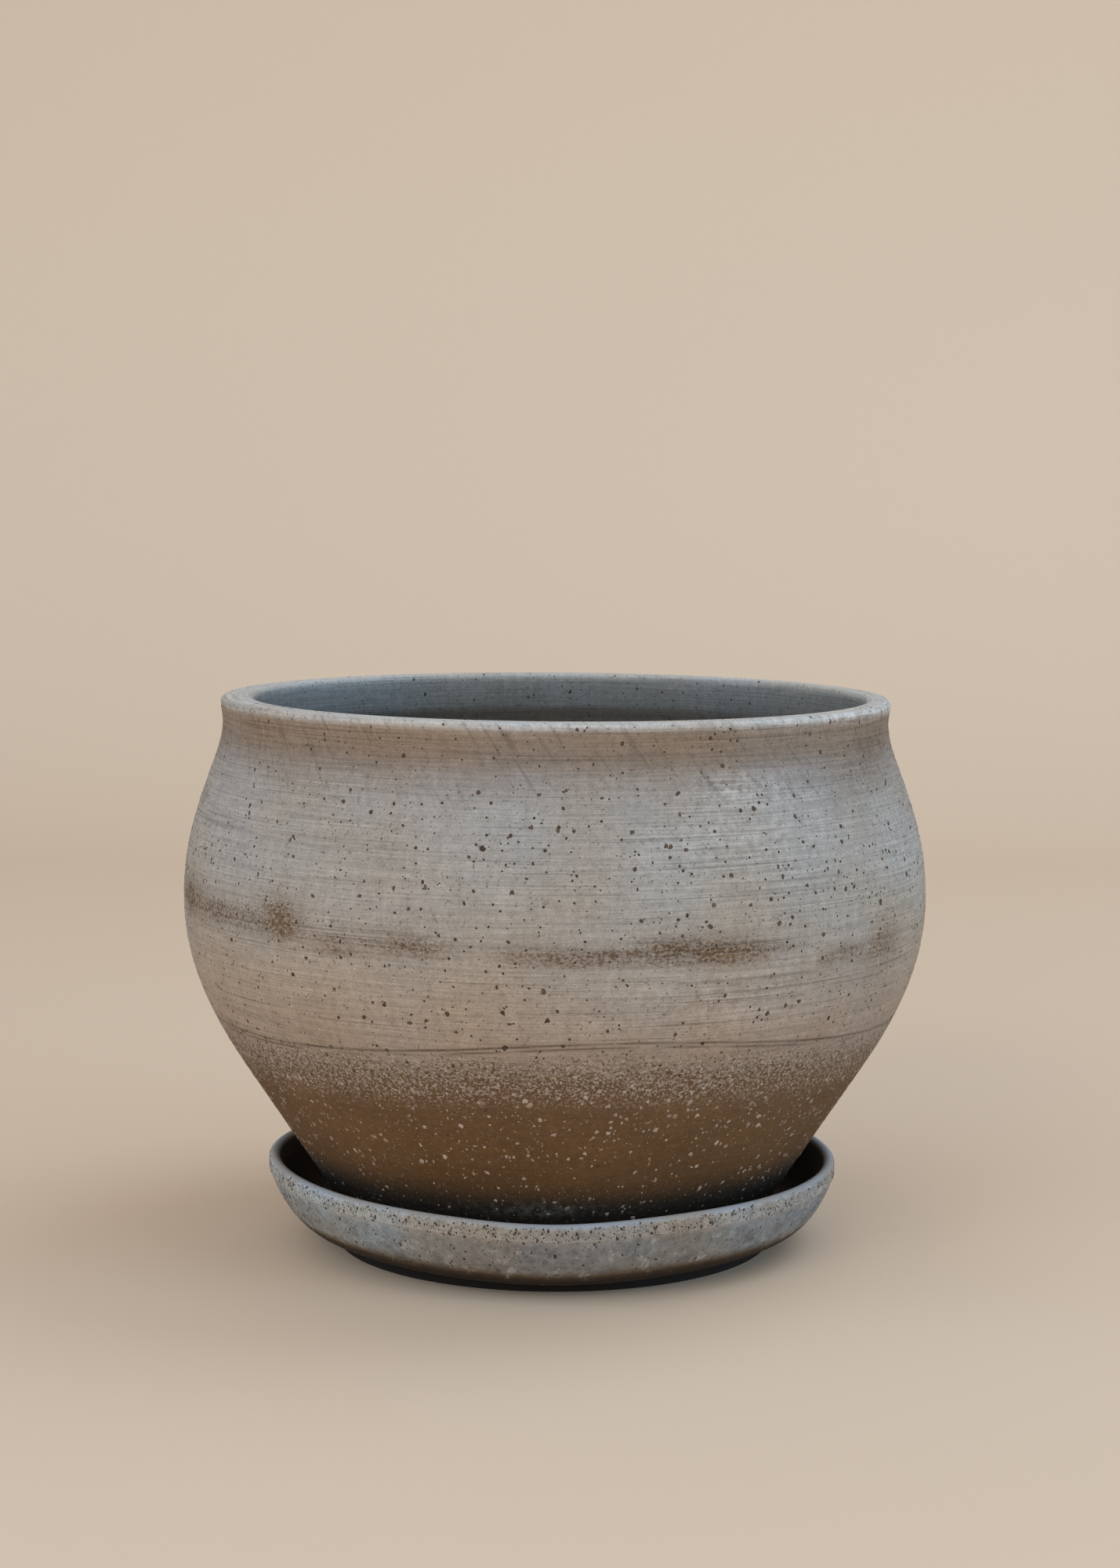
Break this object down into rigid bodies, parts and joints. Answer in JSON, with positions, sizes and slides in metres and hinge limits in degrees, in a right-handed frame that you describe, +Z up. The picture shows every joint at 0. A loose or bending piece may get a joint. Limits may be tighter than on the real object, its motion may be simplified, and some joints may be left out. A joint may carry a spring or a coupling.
{
  "type": "plant pot with saucer",
  "caption": "Round-bellied stoneware plant pot with a low flat-lipped collar and a drainage hole, standing loose in a shallow round saucer.",
  "frame": {"origin": "middle of the saucer's foot, on the table", "axes": "+Z up along the axis that both pieces are turned about, +X to the right and -Y towards the viewer"},
  "size_m": [0.2342, 0.2342, 0.1739],
  "materials": {
    "saucer": "matt blue-grey slip over speckled stoneware, with a smooth lip",
    "pot": "matt warm grey slip over brown speckled stoneware, with fine turning lines"
  },
  "bodies": {
    "saucer": {"saucer": "saucer"},
    "pot": {"pot": "pot"}
  },
  "joints": [
    {"name": "pot_lift", "type": "slide", "parent": "saucer", "child": "pot", "axis": [0, 0, 1], "range_m": [0, 0.06]}
  ]
}
